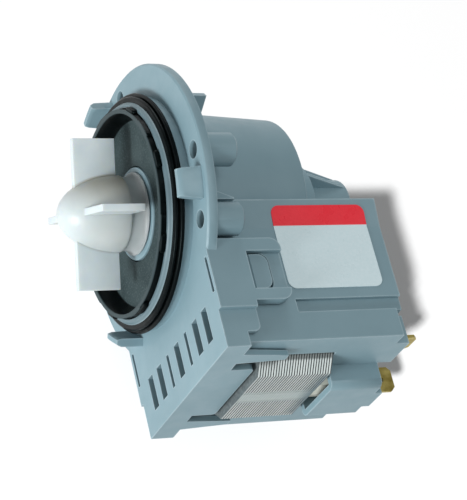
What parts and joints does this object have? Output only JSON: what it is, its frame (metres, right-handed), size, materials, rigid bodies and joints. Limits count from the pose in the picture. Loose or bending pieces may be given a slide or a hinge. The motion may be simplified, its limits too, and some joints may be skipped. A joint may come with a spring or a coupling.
{
  "type": "washer drain pump",
  "caption": "Synchronous drain pump with a sealed round flange, bladed impeller, round rotor hood and a boxed laminated stator with push-on terminals.",
  "frame": {"origin": "on the rotor axis, in the seating face of the flange", "axes": "+X rearward along the rotor axis, -X towards the impeller, +Y from the stator yoke towards the rotor, +Z out of the labelled side, which faces up as in the picture"},
  "size_m": [0.0788, 0.0856, 0.07],
  "materials": {
    "body_plastic": "moulded satin",
    "label": "printed film",
    "rubber": "moulded matt",
    "dark_plastic": "moulded matt",
    "bush_graphite": "sintered",
    "core_steel": "stamped sheet edges",
    "bobbin_plastic": "moulded",
    "winding_copper": "enamelled wire",
    "terminal_brass": "stamped",
    "shaft_steel": "ground",
    "magnet_ferrite": "sintered",
    "impeller_plastic": "translucent moulding"
  },
  "bodies": {
    "housing": {"pump_body": "body_plastic", "stator_hood": "body_plastic", "stator_case": "body_plastic", "rating_label": "label", "flange_seal": "rubber", "bearing_shield": "dark_plastic", "shield_seal": "rubber", "front_bearing_carrier": "body_plastic", "front_bush_mount": "rubber", "front_bush": "bush_graphite", "rear_bush_mount": "rubber", "rear_bush": "bush_graphite", "stator_core": "core_steel", "label_side_bobbin": "bobbin_plastic", "far_side_bobbin": "bobbin_plastic", "label_side_winding": "winding_copper", "far_side_winding": "winding_copper", "label_side_terminal": "terminal_brass", "far_side_terminal": "terminal_brass"},
    "rotor": {"rotor_shaft": "shaft_steel", "rotor_carrier": "dark_plastic", "rotor_magnet": "magnet_ferrite", "rotor_end_cap": "dark_plastic", "front_thrust_washer": "bobbin_plastic", "rear_thrust_washer": "bobbin_plastic", "drive_dog": "bobbin_plastic"},
    "impeller": {"impeller": "impeller_plastic", "impeller_hub_cap": "impeller_plastic", "dog_damper": "rubber"}
  },
  "joints": [
    {"name": "rotor_spin", "type": "hinge", "parent": "housing", "child": "rotor", "pos_m": [0, 0, 0], "axis": [1, 0, 0], "continuous": true},
    {"name": "impeller_free_turn", "type": "hinge", "parent": "rotor", "child": "impeller", "pos_m": [0, 0, 0], "axis": [1, 0, 0], "range_deg": [-90, 90]}
  ]
}
